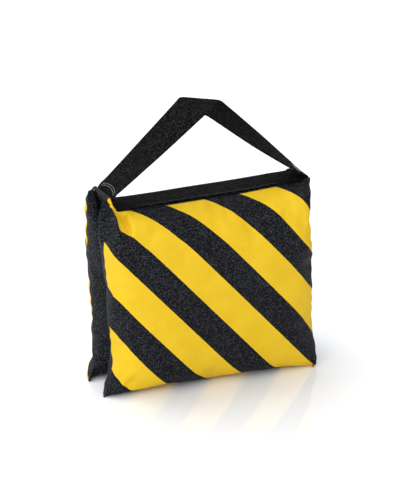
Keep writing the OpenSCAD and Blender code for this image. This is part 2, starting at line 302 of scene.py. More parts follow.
def catmull(points, n):
    """n points evenly spaced along a Catmull-Rom curve, and its length."""
    p = np.array(points, float)
    p = np.vstack([2 * p[0] - p[1], p, 2 * p[-1] - p[-2]])
    out = []
    for i in range(1, len(p) - 2):
        f = np.linspace(0, 1, 40, endpoint=False)[:, None]
        a, b, c, d = p[i - 1], p[i], p[i + 1], p[i + 2]
        out.append(0.5 * (2 * b + (c - a) * f + (2 * a - 5 * b + 4 * c - d) * f ** 2
                          + (3 * b - a - 3 * c + d) * f ** 3))
    out = np.vstack(out + [p[-2][None]])
    return along(out, np.linspace(0, 1, n))


def along(curve, fractions):
    """Points at those fractions of a curve's length, and its length."""
    d = np.r_[0, np.cumsum(np.linalg.norm(np.diff(curve, axis=0), axis=1))]
    s = np.asarray(fractions) * d[-1]
    return np.stack([np.interp(s, d, curve[:, i]) for i in range(curve.shape[1])], 1), d[-1]


# Section of the front pouch across the bag, from the ridge down to the bottom seam, as (y, z)
SEAM_TOP = (-25.0, H - 3)                  # where the pouch is sewn to the webbing's edge
WALL_DROP = (20.0, -41.0)                  # the channel's wall, from the ridge seam to its foot
WALL = np.array(WALL_DROP) / math.hypot(*WALL_DROP)
BOTTOM_SEAM = (-32, 0.3)
OUTER = [(-25.3, H - 1.9), (-30, H - 3.0), (-37, H - 6.0), (-48, H - 12.0), (-57.5, H - 22), (-62, H - 38),
         (-64, H - 60), (-64.5, H * 0.5), (-64, H * 0.25), (-62, 28), (-58, 11), (-51, 2.5), (-44, 0.4),
         BOTTOM_SEAM]
INNER = [OUTER[0]] + [(SEAM_TOP[0] + WALL_DROP[0] * f, SEAM_TOP[1] + WALL_DROP[1] * f)
                      for f in (0.25, 0.5, 0.75, 1)]
INNER += [(-2.4, H - 60), (-1.5, H - 82), (-1.5, H * 0.42), (-2.3, H * 0.22), (-5, 20), (-10, 6),
          (-19, 0.4), BOTTOM_SEAM]
ZIP_DROP, ZIP_GAP = 20.0, 6.0              # the zip's middle, down the wall, and half of its slot

# Half widths at those heights: first the left side, then the right side
WIDTH_Z = (0, 8, 20, 40, 60, 100, 140, 165, 180, 190, 200, 207, H)
WIDTH = {
    "front": ((139.5, 136.5, 131, 127.5, 127.5, 130, 132, 132.5, 131.5, 127, 123, 120, 120.5),
              (121.5, 124.5, 126.5, 128, 127.5, 127, 124.5, 121.5, 121, 121.5, 123.5, 125, 125.5)),
    "rear": ((140, 136, 128.5, 124, 124.5, 127, 127.5, 127.5, 128, 129.5, 129.8, 129.5, 128),
             (121, 122, 123, 123, 123, 123, 122, 121, 121, 121, 123, 124, 125)),
}


def half_width(side, z, right_side):
    return np.interp(z, WIDTH_Z, WIDTH[side][1 if right_side else 0])


def seam_y(side, z, right_side=False):
    """The side seam's y: under the webbing's edge at the top, drawn out at the bottom corners."""
    middle = -32 if side == "front" else -39
    left_corner = -15 if side == "front" else 37
    corner = -25 if right_side else left_corner
    top = smooth((z - H + 48) / 48)
    return middle * (1 - top) + SEAM_TOP[0] * top + corner * smooth(1 - z / 50)


def ridge_lift(x, y):
    """How far the ridge rises above its mean height: a slight tilt, and ends drawn up by the handle."""
    front = np.interp(x, (-118, -54, -4, 40, 83, 125), (2.6, 2.8, 4.2, 5.0, 7.9, 9.4))
    rear = np.interp(x, (-118, -78, 0, 63, 92, 126), (0.6, -0.6, 0.8, 2.6, 3.6, 4.8))
    t = np.clip((y + 25) / 50, 0, 1)
    ends = (20 - 6.5 * t) * smooth((-x - 115.0) / 7.5) + 4.0 * smooth((x - 112) / 10)
    return front * (1 - t) + rear * t + ends


def fullness(u, z):
    """Share of the section's depth at u across the pouch: full in the middle, none at the seams."""
    power = 5 + 15 * smooth((z - H + 96) / 56) + 3 * smooth(1 - z / 60)
    return np.sqrt(np.clip(1 - np.abs(u) ** power, 0, None))


COLS = 76
INNER_LENGTH = catmull(INNER, 400)[1]
SLOT_TOP, SLOT_END = (ZIP_DROP - ZIP_GAP) / INNER_LENGTH, (ZIP_DROP + ZIP_GAP) / INNER_LENGTH
ROWS = np.r_[np.linspace(0, SLOT_TOP, 4)[:-1], np.linspace(SLOT_TOP, SLOT_END, 4)[:-1],
             np.linspace(SLOT_END, 1, 58)]
SLOT_ROWS = range(3, 6)                    # the rows that the zip's slot takes out
SLOT_HALF = 111                            # half of the slot's length


def panel_grids(side):
    """Outer and inner panel as grids of points (rows, columns, 3), drawn in front."""
    k = np.linspace(-1, 1, COLS + 1)
    u = np.sin(k * math.pi / 2)
    o, _ = along(catmull(OUTER, 800)[0], ROWS)
    i, _ = along(catmull(INNER, 800)[0], ROWS)
    zc = (o[:, 1] + i[:, 1]) / 2
    grids = []
    for line in (o, i):
        f = fullness(u[None, :], zc[:, None])
        z = zc[:, None] * (1 - f) + line[:, 1][:, None] * f
        y0 = np.where(u[None, :] > 0, seam_y(side, zc, True)[:, None], seam_y(side, zc)[:, None])
        y = y0 + f * (line[:, 0][:, None] - y0)
        wide = np.where(u[None, :] > 0, half_width(side, z, True), half_width(side, z, False))
        x = u[None, :] * wide
        if line is i:
            bulge = 11 if side == "front" else 2.5
            x = x - np.where(x < 0, 1, -0.3) * bulge * 4 * f * (1 - f) * smooth((z - 168) / 30)
        z = z + ridge_lift(x, SIDES[side] * y) * smooth((z - H + 46) / 38)
        grids.append(np.stack([x, y, z], 2))
    return grids


def mesh_object(name, verts, faces, mats, face_mats=None, smooth_shade=True):
    """An object from vertices in mm."""
    me = bpy.data.meshes.new(name)
    me.from_pydata([tuple(v) for v in np.asarray(verts, float) * MM], [], [tuple(f) for f in faces])
    for m in mats:
        me.materials.append(m)
    if face_mats is not None:
        me.polygons.foreach_set("material_index", face_mats)
    me.polygons.foreach_set("use_smooth", [smooth_shade] * len(me.polygons))
    me.update()
    ob = bpy.data.objects.new(name, me)
    bpy.context.collection.objects.link(ob)
    return ob


def set_uvs(ob, name, values):
    layer = ob.data.uv_layers.new(name=name)
    layer.data.foreach_set("uv", np.array(values, float).ravel())


def apply_modifiers(ob):
    dg = bpy.context.evaluated_depsgraph_get()
    me = bpy.data.meshes.new_from_object(ob.evaluated_get(dg), preserve_all_data_layers=True, depsgraph=dg)
    old = ob.data
    ob.modifiers.clear()
    ob.data = me
    bpy.data.meshes.remove(old)
    me.name = ob.name


def coords(ob):
    co = np.empty(len(ob.data.vertices) * 3)
    ob.data.vertices.foreach_get("co", co)
    return co.reshape(-1, 3)


def set_coords(ob, co):
    ob.data.vertices.foreach_set("co", np.asarray(co, float).ravel())
    ob.data.update()


CLOTH_FRAMES = 16
CLOTH_PRESSURE = 3.0
CLOTH_GROWTH = 0.012
CLOTH_CAP = 0.005                          # the farthest that a point may end from where it started, in m


def add_cloth(ob, pin_group):
    m = ob.modifiers.new("cloth", "CLOTH")
    s = m.settings
    s.quality = 6
    s.mass = 0.25
    s.tension_stiffness = s.compression_stiffness = 25
    s.shear_stiffness = 12
    s.bending_stiffness = 1.2
    s.tension_damping = s.compression_damping = s.shear_damping = 8
    s.air_damping = 6
    s.use_pressure = True
    s.uniform_pressure_force = CLOTH_PRESSURE
    s.shrink_min = -CLOTH_GROWTH
    s.effector_weights.gravity = 0
    s.vertex_group_mass = pin_group
    m.collision_settings.use_collision = False
    m.collision_settings.use_self_collision = False
    m.point_cache.frame_start, m.point_cache.frame_end = 1, CLOTH_FRAMES


def settle(ob, pin):
    """Lets the cloth swell and crease a little, then freezes it within the cap of where it started."""
    start = coords(ob)
    group = ob.vertex_groups.new(name="pin")
    for i, w in enumerate(pin):
        if w > 0:
            group.add([i], float(w), "REPLACE")
    add_cloth(ob, group.name)
    scene = bpy.context.scene
    for f in range(1, CLOTH_FRAMES + 1):
        scene.frame_set(f)
    apply_modifiers(ob)
    scene.frame_set(1)
    move = coords(ob) - start
    size = np.linalg.norm(move, axis=1, keepdims=True)
    move *= CLOTH_CAP * np.tanh(size / CLOTH_CAP) / np.maximum(size, 1e-9)
    set_coords(ob, start + move)


# ---- the two pouches ------------------------------------------------------------------------


FABRIC_THICKNESS = 0.0007
FLOOR_GAP = 0.0002
MIDDLE_GAP = 0.0006                        # from the plane between the two pouches


def hump(x, middle, spread):
    return np.exp(-((x - middle) / spread) ** 2)


def fabric_offsets(side, x, s, z):
    """Small creases in mm, outwards; s is the drop from the ridge."""
    edge_l = (x + half_width(side, z, False)) / 26
    edge_r = (half_width(side, z, True) - x) / 26
    near_side = np.exp(-np.clip(np.minimum(edge_l, edge_r), 0, None) ** 2)
    pucker = np.sin(s / 2.9 + 1.3 * np.sin(s / 11)) * near_side * 0.4
    gather = np.sin(x / 3.3 + 2.2 * np.sin(x / 19)) * hump(s, 0, 16) * 0.3
    ear = -3.5 * hump(x, 0.55 * z - 122, 7.0) * smooth((34 - z) / 18) * smooth((z - 3) / 6)
    drawn = -2.2 * hump(x, 98 - 0.6 * (z - H + 26), 9.0) * hump(z, H - 34, 22)
    return pucker + gather + ear + drawn


def corner_crease(x, s):
    """The fold beside the handle's left foot: a long slope from the left and a short one from the right."""
    across = x + 107.5 + 0.1 * s
    return -8.0 * np.exp(-(across / np.where(across < 0, 6.5, 3.5)) ** 2) * smooth((22 - s) / 10)


def crease(ob, side):
    co = coords(ob)
    nrm = np.empty(len(co) * 3)
    ob.data.vertices.foreach_get("normal", nrm)
    sign = SIDES[side]
    x, y, z = co[:, 0] / MM, co[:, 1] * sign / MM, co[:, 2] / MM
    s = H - z
    off = fabric_offsets(side, x, s, z) * smooth((-y - 24) / 6)
    big = np.array([noise.noise(Vector((p[0] * 14 + 3 * sign, p[1] * 14, p[2] * 14))) for p in co])
    off = off + big * 1.3 * smooth((s - 10) / 40) * smooth(z / 30)
    off[(y > -27) & (s < 52)] = 0              # the channel's wall stays flat where the zip lies
    off = off + corner_crease(x, s) * smooth((-y - 26.0) / 5.0)
    co = co + nrm.reshape(-1, 3) * off[:, None] * MM
    co[:, 2] = np.clip(co[:, 2], FLOOR_GAP, None)
    if sign > 0:
        co[:, 1] = np.minimum(co[:, 1], -MIDDLE_GAP)
    else:
        co[:, 1] = np.maximum(co[:, 1], MIDDLE_GAP)
    set_coords(ob, co)


def fabric_place(grid):
    """Across from the middle and down from the ridge, in mm along the fabric."""
    rows, cols = grid.shape[:2]
    step = np.linalg.norm(np.diff(grid, axis=1), axis=2)
    across = np.cumsum(np.c_[np.zeros(rows), step], 1)
    across -= across[:, cols // 2][:, None]
    down = np.r_[0, np.cumsum(np.linalg.norm(np.diff(grid[:, cols // 2], axis=0), axis=1))]
    return across, np.repeat(down[:, None], cols, 1)


def pattern_place(side, grid, across, down):
    """Where a point lies in the printed pattern, which is drawn askew at the front's upper right corner."""
    x, z = grid[:, :, 0], grid[:, :, 2]
    drag = 0
    if side == "front":
        drag = 7 * np.exp(-((x - 112) / 36) ** 2 - ((z - 176) / 36) ** 2)
        drag = drag + 9 * smooth((x - 98) / 24) * hump(z, 190, 24)
    return 0.6 * x + 0.4 * across + drag, down - 0.086 * np.clip(down - 55, 0, None)


def panel_faces(index, places, patterns, flip):
    """Faces of one panel with their two sets of coordinates; flip turns them over."""
    faces, fabric, pattern = [], [], []
    for r in range(index.shape[0] - 1):
        for c in range(index.shape[1] - 1):
            quad = [(r, c), (r + 1, c), (r + 1, c + 1), (r, c + 1)]
            if flip:
                quad.reverse()
            faces.append([index[a] for a in quad])
            fabric += [(places[0][a], places[1][a]) for a in quad]
            pattern += [(patterns[0][a], patterns[1][a]) for a in quad]
    return faces, fabric, pattern


def slot_faces(inner):
    """1 for each face of the inner panel that the zip's slot takes out, row by row."""
    rows, cols = inner.shape[:2]
    x = np.abs(inner[:, :, 0])
    return [int(r in SLOT_ROWS and max(x[r, c], x[r, c + 1]) < SLOT_HALF)
            for r in range(rows - 1) for c in range(cols - 1)]


def pinned(index_outer, index_inner):
    """How firmly each vertex is held while the cloth settles: the ridge, the zip and the bottom seam."""
    pin = np.zeros(index_inner.max() + 1)
    for index, depth in ((index_outer, 3), (index_inner, 11)):
        for r, ids in enumerate(index):
            w = 1.0 if r <= depth else max(0.0, 1 - (r - depth) / 4)
            pin[ids] = np.maximum(pin[ids], w)
        pin[index[-2:].ravel()] = 1
    return pin


def sewn_pouch(side):
    """The two panels sewn together, and how firmly each vertex is held."""
    outer, inner = panel_grids(side)
    rows, cols = outer.shape[:2]
    n = rows * cols
    index_outer = np.arange(n).reshape(rows, cols)
    index_inner = index_outer.copy()
    index_inner[1:-1, 1:-1] = n + np.arange((rows - 2) * (cols - 2)).reshape(rows - 2, cols - 2)
    border = (outer + inner) / 2
    for a in (outer, inner):
        a[0], a[-1], a[:, 0], a[:, -1] = border[0], border[-1], border[:, 0], border[:, -1]
    verts = np.vstack([outer.reshape(-1, 3), inner[1:-1, 1:-1].reshape(-1, 3)])
    faces, fabric, pattern = [], [], []
    for grid, index, is_inner in ((outer, index_outer, False), (inner, index_inner, True)):
        places = fabric_place(grid)
        made = panel_faces(index, places, pattern_place(side, grid, *places), is_inner != (side == "rear"))
        faces += made[0]
        fabric += made[1]
        pattern += made[2]
    half = len(faces) // 2
    ob = mesh_object(f"{side}_pouch_fabric", verts * np.array([1, SIDES[side], 1]), faces,
                     (MAT[f"{side}_stripes"], MAT["black"]), [0] * half + [1] * half)
    set_uvs(ob, "fabric", fabric)
    set_uvs(ob, "pattern", pattern)
    hole = ob.data.attributes.new("zip_face", "INT", "FACE")
    hole.data.foreach_set("value", [0] * half + slot_faces(inner))
    return ob, pinned(index_outer, index_inner)


def cut_slot(ob):
    bm = bmesh.new()
    bm.from_mesh(ob.data)
    tag = bm.faces.layers.int["zip_face"]
    bmesh.ops.delete(bm, geom=[f for f in bm.faces if f[tag]], context="FACES")
    bm.to_mesh(ob.data)
    bm.free()


def build_pouch(side):
    ob, pin = sewn_pouch(side)
    settle(ob, pin)
    cut_slot(ob)
    sub = ob.modifiers.new("subdivide", "SUBSURF")
    sub.levels = sub.render_levels = 2
    apply_modifiers(ob)
    crease(ob, side)
    thick = ob.modifiers.new("thickness", "SOLIDIFY")
    thick.thickness = FABRIC_THICKNESS
    thick.offset = -1
    thick.use_even_offset = False
    apply_modifiers(ob)
    co = coords(ob)
    co[:, 2] = np.clip(co[:, 2], FLOOR_GAP, None)
    set_coords(ob, co)
    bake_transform(ob)
    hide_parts(f"{side}_outer_panel", f"{side}_inner_strip", f"{side}_inner_panel")


for side in SIDES:
    build_pouch(side)

# ---- webbing loop: ridge and handle ---------------------------------------------------------

# Stations of the loop: its front edge and its rear edge, z from the ridge: along the ridge from right to
# left, round the left foot, up to the folded top, down to the right foot and back to the start
LOOP = [
    ((96, -25, 8.6), (96, 25, 3.8)), ((83, -25, 8.0), (83, 25, 3.2)), ((40, -25, 5.4), (40, 25, 1.7)),
    ((-4, -25, 4.6), (-4, 25, 0.8)), ((-54, -25, 3.2), (-54, 25, -0.6)), ((-96, -25, 2.8), (-96, 25, -0.7)),
    ((-111, -25, 2.6), (-110, 25, 0.6)), ((-116.0, -25, 3.6), (-115, 25, 2.3)),
    ((-118.2, -25, 8), (-117.6, 25, 7)), ((-118.0, -25, 14), (-117.6, 25, 12.5)),
    ((-114.6, -25, 20.2), (-115.0, 25, 18.0)), ((-106.2, -25, 26.6), (-107.2, 25, 24.6)),
    ((-56.0, -25, 64.2), (-62.2, 25, 66.8)), ((-10.5, -25, 99.6), (-21.4, 25, 105.3)),
    ((-6.2, -25, 103.0), (-16.8, 25, 109.8)), ((-5.7, -25, 103.5), (-14.8, 24.6, 110.4)),
    ((-5.5, -25, 103.6), (8, 18.6, 107.9)), ((-5.3, -25, 103.6), (27.6, 12.4, 105.4)),
    ((-4.5, -25, 103.2), (29.9, 12.0, 104.2)), ((1.4, -25, 99.2), (36.3, 13, 98.5)),
    ((55.7, -25, 57.8), (82, 19, 55.6)), ((98, -25, 28.6), (117.2, 24, 21.2)),
    ((112, -25, 19.8), (124.4, 25, 14.2)),
    ((120.5, -25, 15.2), (127.2, 25, 10.4)), ((124.0, -25, 12.2), (127.8, 25, 7.6)),
    ((123.4, -25, 9.4), (125.6, 25, 5.2)), ((114, -25, 8.9), (115, 25, 4.3)), ((96, -25, 8.6), (96, 25, 3.8)),
]
WEB_T = 1.7                                # the webbing's thickness
WEB_WIDTH = 50
WEB_TOP = np.array([0, 0, H - WEB_T / 2])  # from a station to the webbing's middle
RIDGE_END = -96                            # where the ridge's webbing ends and the handle's begins


def loop_curve():
    """The stations joined by a smooth curve that keeps the tight turns at the feet and at the fold."""
    pts = np.array([[f + r] for f, r in LOOP], float).reshape(-1, 6)
    ext = np.vstack([pts[-2], pts, pts[1]])
    out = []
    for i in range(1, len(ext) - 2):
        a, b, c, d = ext[i - 1], ext[i], ext[i + 1], ext[i + 2]
        ta, tb, td = (np.linalg.norm(q) ** 0.5 for q in (b - a, c - b, d - c))
        m1 = tb * ((b - a) / ta - (c - a) / (ta + tb) + (c - b) / tb)
        m2 = tb * ((c - b) / tb - (d - b) / (tb + td) + (d - c) / td)
        for f in np.linspace(0, 1, 30, endpoint=False):
            out.append((2 * f ** 3 - 3 * f ** 2 + 1) * b + (f ** 3 - 2 * f ** 2 + f) * m1
                       + (3 * f ** 2 - 2 * f ** 3) * c + (f ** 3 - f ** 2) * m2)
    return np.array(out + [ext[-2]])


def face_normals(line):
    """Unit normals of the webbing along a line of (front edge, rear edge) pairs."""
    front, rear = line[:, :3], line[:, 3:]
    normal = np.cross(np.gradient((front + rear) / 2, axis=0), rear - front)
    return normal / np.linalg.norm(normal, axis=1, keepdims=True)


def strap_mesh(name, line):
    """Webbing along a line of (front edge, rear edge) pairs: flat faces and rounded selvedges."""
    front, across, normal = line[:, :3], line[:, 3:] - line[:, :3], face_normals(line)
    length = np.cumsum(np.linalg.norm(np.diff(front + across / 2, axis=0), axis=1))
    length = np.r_[0, length]
    fr = np.linspace(0, 1, 19)
    h = WEB_T / 2
    # share across, height, and share across in the weave's own coordinates
    profile = [(f, h, f) for f in fr] + [(1.010, h * 0.5, 1.01), (1.010, -h * 0.5, 1.02)]
    profile += [(f, -h, f) for f in fr[::-1]] + [(-0.010, -h * 0.5, -0.01), (-0.010, h * 0.5, -0.02)]
    m = len(profile)
    verts = np.array([[front[i] + across[i] * p[0] + normal[i] * p[1] for p in profile]
                      for i in range(len(line))])
    faces, uvs = [], []
    for i in range(len(line) - 1):
        for j in range(m):
            k = (j + 1) % m
            faces.append([i * m + j, i * m + k, (i + 1) * m + k, (i + 1) * m + j])
            u0, u1 = profile[j][2] * WEB_WIDTH, profile[k][2] * WEB_WIDTH
            uvs += [(u0, length[i]), (u1, length[i]), (u1, length[i + 1]), (u0, length[i + 1])]
    ob = mesh_object(name, verts.reshape(-1, 3) + WEB_TOP, faces, (MAT["webbing"],))
    set_uvs(ob, "fabric", uvs)
    return ob


curve = loop_curve()
cut = int(np.argmin(np.abs(curve[:170, 0] - RIDGE_END)))
band_line = along(curve[:cut + 1], np.linspace(0, 1, 60))[0]
strap_line = along(curve[cut:], np.linspace(0, 1, 330))[0]
ridge = strap_mesh("ridge_band", band_line)
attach(ridge, "bridge")
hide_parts("ridge_webbing")
strap = strap_mesh("handle_strap", strap_line)
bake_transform(strap)
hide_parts("handle_webbing")


class Soup:
    """Gathers the vertices and faces of many small closed shapes, in mm."""

    def __init__(self):
        self.verts, self.faces = [], []

    def rings(self, rings, closed_ends=True):
        base, m = len(self.verts), len(rings[0])
        for ring in rings:
            self.verts += [tuple(p) for p in ring]
        for i in range(len(rings) - 1):
            for j in range(m):
                k = (j + 1) % m
                low, high = base + i * m, base + (i + 1) * m
                self.faces.append([low + j, low + k, high + k, high + j])
        if closed_ends:
            self.faces.append([base + j for j in range(m)][::-1])
            self.faces.append([base + (len(rings) - 1) * m + j for j in range(m)])

    def rod(self, path, radius, normal, sides):
        """A rod along a path; radius may differ from point to point."""
        path = np.asarray(path, float)
        radius = np.broadcast_to(radius, len(path))
        t = np.gradient(path, axis=0)
        t /= np.linalg.norm(t, axis=1, keepdims=True)
        side = np.cross(t, np.asarray(normal, float))
        side /= np.linalg.norm(side, axis=1, keepdims=True)
        top = np.cross(side, t)
        ang = np.linspace(0, 2 * math.pi, sides, endpoint=False)
        self.rings([[path[i] + radius[i] * (math.cos(q) * side[i] + math.sin(q) * top[i]) for q in ang]
                    for i in range(len(path))])

    def stitch(self, a, b, normal, r):
        """One stitch lying on the cloth from a to b, its ends drawn into the weave."""
        a, b, normal = (np.asarray(q, float) for q in (a, b, normal))
        arch = ((0, -0.35), (0.12, 0.12), (0.5, 0.3), (0.88, 0.12), (1, -0.35))
        path = [a + (b - a) * f + normal * h for f, h in arch]
        self.rod(path, [r * 0.7, r, r, r, r * 0.7], normal, 5)

    def seam(self, line, normals, pitch=3.2, length=2.4, r=0.3):
        """A row of stitches along a line of points."""
        line, normals = np.asarray(line, float), np.asarray(normals, float)
        d = np.r_[0, np.cumsum(np.linalg.norm(np.diff(line, axis=0), axis=1))]

        def at(s, what):
            return np.array([np.interp(s, d, what[:, i]) for i in range(3)])

        for k in range(int(d[-1] // pitch)):
            s = k * pitch + 0.4
            self.stitch(at(s, line), at(s + length, line), at(s + length / 2, normals), r)

    def make(self, name, mat, smooth_shade=True):
        return mesh_object(name, self.verts, self.faces, (mat,), None, smooth_shade)


THREAD_LIFT = 0.05                         # stitches above the webbing's face


def strap_point(line, i, f, lift, side):
    """Point on the webbing at station i and fraction f across; side -1 is the loop's inner face."""
    i = min(max(i, 1), len(line) - 2)
    lo = int(i)
    row = line[lo] * (1 - i + lo) + line[lo + 1] * (i - lo)
    step = line[lo + 1] - line[lo - 1]
    front, rear = row[:3], row[3:]
    n = np.cross(step[:3] + step[3:], rear - front)
    n /= np.linalg.norm(n)
    return front + (rear - front) * f + n * side * (WEB_T / 2 + lift) + WEB_TOP, n * side


def stitch_rows(soup, line, start, count, gap, bow, side):
    """Rows of stitches across the webbing, bowed along it."""
    for k in range(count):
        pts = [strap_point(line, start + k * gap + bow * (1 - (2 * f - 1) ** 2), f, THREAD_LIFT, side)
               for f in np.linspace(0.05, 0.95, 40)]
        soup.seam([q[0] for q in pts], [q[1] for q in pts], 2.6, 2.0, 0.17)


LINING_GAP = 0.6                           # between the webbing and its lining
# The lining's left end: steps in x and z that carry it on from the foot as a small arch
LINING_ARCH = ((-0.6, 0.9), (-1.6, 1.7), (-3.0, 1.9), (-4.4, 1.2), (-5.4, -0.2), (-5.6, -1.6))


def lining_grid(line):
    """Rows of points across the webbing's underside, the edges turned down, and where each lies across."""
    front, across, normal = line[:, :3], line[:, 3:] - line[:, :3], face_normals(line)
    fr = [0.004, -0.002, 0.0] + list(np.linspace(0.006, 0.994, 23)) + [1.0, 1.002, 0.996]
    down = np.array([3.0, 1.6, 0.6] + [0.0] * 23 + [0.6, 1.6, 3.0])
    rows = []
    for i in range(len(line)):
        rows.append([front[i] + across[i] * f + normal[i] * (WEB_T / 2 + LINING_GAP + d)
                     for f, d in zip(fr, down)])
    last = np.array(rows[-1])
    for dx, dz in LINING_ARCH:
        rows.append(last + np.array([dx, 0, dz]) - np.outer(down * 1.6, [0, 0, 1.0]) * min(1, -dx / 4))
    grid = np.array(rows)
    r, c = grid.shape[:2]
    wave = 0.5 * np.sin(np.arange(r)[:, None] / 3.1 + np.arange(c)[None, :] / 2.3)
    grid[:, :, 2] -= np.abs(wave) * (np.arange(r)[:, None] > 100)
    return grid, fr


def build_lining():
    """Black fabric under the webbing, its left end drawn up into an arch over the channel."""
    left_end = int(np.argmin(np.abs(curve[:, 2] - 17) + 9 * (curve[:, 0] > -110) + 99 * (curve[:, 0] > 0)))
    right_end = max(i for i in range(len(curve)) if curve[i, 2] > 8.5 and curve[i, 0] > 118)
    line = np.vstack([curve[right_end:], curve[1:left_end]])
    grid, fr = lining_grid(along(line, np.linspace(0, 1, 110))[0])
    r, c = grid.shape[:2]
    faces, uvs = [], []
    for i in range(r - 1):
        for j in range(c - 1):
            quad = [(i, j), (i, j + 1), (i + 1, j + 1), (i + 1, j)]
            faces.append([a * c + b for a, b in quad])
            uvs += [(fr[b] * WEB_WIDTH, a * 2.6) for a, b in quad]
    ob = mesh_object("ridge_lining", grid.reshape(-1, 3) + WEB_TOP, faces, (MAT["black"],))
    set_uvs(ob, "fabric", uvs)
    sub = ob.modifiers.new("subdivide", "SUBSURF")
    sub.levels = sub.render_levels = 1
    thick = ob.modifiers.new("thickness", "SOLIDIFY")
    thick.thickness = 0.0006
    apply_modifiers(ob)
    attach(ob, "bridge")
    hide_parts("bridge_lining")


def ridge_stitching():
    """A row along each edge of the ridge's webbing."""
    soup = Soup()
    for f in (0.07, 0.93):
        pts = [strap_point(band_line, i, f, THREAD_LIFT, -1) for i in range(3, len(band_line) - 2)]
        soup.seam([q[0] for q in pts], [q[1] for q in pts])
    ob = soup.make("ridge_stitching", MAT["thread"])
    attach(ob, "bridge")
    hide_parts("tack_thread_left", "tack_thread_right")


def handle_stitching():
    """Two bowed rows on both faces of each of the handle's feet."""
    soup = Soup()
    left_row = min(i for i in range(len(strap_line)) if strap_line[i, 5] > 15.5)
    right_row = max(i for i in range(len(strap_line)) if strap_line[i, 5] > 12.5)
    for row, gap, bow in ((left_row, 2.2, 5.0), (right_row, -2.2, -3.0)):
        for face in (-1, 1):
            stitch_rows(soup, strap_line, row, 2, gap, bow, face)
    ob = soup.make("handle_stitching", MAT["pale_thread"])
    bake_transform(ob)


build_lining()
ridge_stitching()
handle_stitching()

# ---- zips -----------------------------------------------------------------------------------
SLIDER_X = 95.0
PIN_H = 4.5                                # the pull's axle above the wall
TAPES = ((9.0, 19.5), (20.5, 31.0))        # upper and lower tape, down the wall
TOOTH_PITCH, TEETH, FIRST_TOOTH = 1.5, 138, -103
STOP_X = (-105.5, 106.0)


def wall_point(side, x, a, h):
    """Point at x, a mm down the channel's wall from the ridge seam and h mm out from the wall."""
    y, z = SEAM_TOP + a * WALL + h * np.array([-WALL[1], WALL[0]])
    return np.array([x, SIDES[side] * y, z])


def plate(soup, side, outline, h0, h1, bevel, hole=None):
    """A flat plate parallel to the wall, edges rounded, with a hole if one is given."""
    outline = np.asarray(outline, float)
    mid = outline.mean(0)
    size = np.abs(outline - mid).max(0)
    levels = ((bevel, h0), (bevel * 0.3, h0 + bevel * 0.3), (0, h0 + bevel), (0, h1 - bevel),
              (bevel * 0.3, h1 - bevel * 0.3), (bevel, h1))
    rings = []
    for inset, h in levels:
        ring = mid + (outline - mid) * (1 - inset / size)
        rings.append([wall_point(side, x, a, h) for x, a in ring])
    if hole is None:
        soup.rings(rings)
    else:
        inner = [[wall_point(side, x, a, h) for x, a in hole] for h in (h1, h0)]
        soup.rings(rings + inner + [rings[0]], closed_ends=False)


def capsule(cx, ca, half_len, half_wide, n=28):
    """Outline of a slot shape, long in x."""
    pts = []
    for q in np.linspace(0, 2 * math.pi, n, endpoint=False):
        pts.append((cx + math.copysign(half_len - half_wide, math.cos(q)) + half_wide * math.cos(q),
                    ca + half_wide * math.sin(q)))
    return pts


def zip_tapes(side):
    soup = Soup()
    for lo, hi in TAPES:
        section = [(lo, 0), ((lo + hi) / 2, 0), (hi, 0), (hi, 0.5), ((lo + hi) / 2, 0.5), (lo, 0.5)]
        soup.rings([[wall_point(side, x, a, -1.05 + 0.12 * math.sin(x / 9 + a) - t) for a, t in section]
                    for x in np.linspace(-119, 119, 120)])
    ob = soup.make(f"{side}_zip_tapes", MAT["hooks"], False)
    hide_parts(f"{side}_zip_tape_upper", f"{side}_zip_tape_lower")
    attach(ob, f"{side}_pouch")


def zip_coil(side):
    """Two interlocked rows of nylon teeth."""
    soup = Soup()
    tooth = ((0, 3.1, -0.7), (0.1, 2.6, 0.25), (0.2, 1.2, 0.42), (0.3, -0.1, 0.3), (0.35, -0.5, -0.2))
    for k in range(TEETH):
        x = FIRST_TOOTH + TOOTH_PITCH * k
        for flip, start in ((1, 0.0), (-1, TOOTH_PITCH / 2)):
            path = [wall_point(side, x + start + dx, ZIP_DROP + flip * a, h) for dx, a, h in tooth]
            soup.rod(path, [0.3, 0.36, 0.36, 0.42, 0.3], (1, 0, 0), 5)
    ob = soup.make(f"{side}_zip_coil", MAT["coil"])
    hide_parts(f"{side}_zip_coil_upper", f"{side}_zip_coil_lower")
    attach(ob, f"{side}_pouch")


def zip_stops(side):
    soup = Soup()
    for x in STOP_X:
        plate(soup, side, capsule(x, ZIP_DROP, 3.4, 1.2), -1.4, 0.9, 0.25)
    ob = soup.make(f"{side}_zip_end_stops", MAT["metal"])
    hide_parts(f"{side}_zip_stops")
    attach(ob, f"{side}_pouch")


def zip_stitching(side, normal):
    soup = Soup()
    for a in (ZIP_DROP - ZIP_GAP - 2.4, ZIP_DROP + ZIP_GAP + 2.4):
        line = [wall_point(side, x, a, 0.1) for x in np.linspace(-113, 113, 60)]
        soup.seam(line, [normal] * 60, r=0.27)
    ob = soup.make(f"{side}_zip_stitching", MAT["thread"])
    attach(ob, f"{side}_pouch")


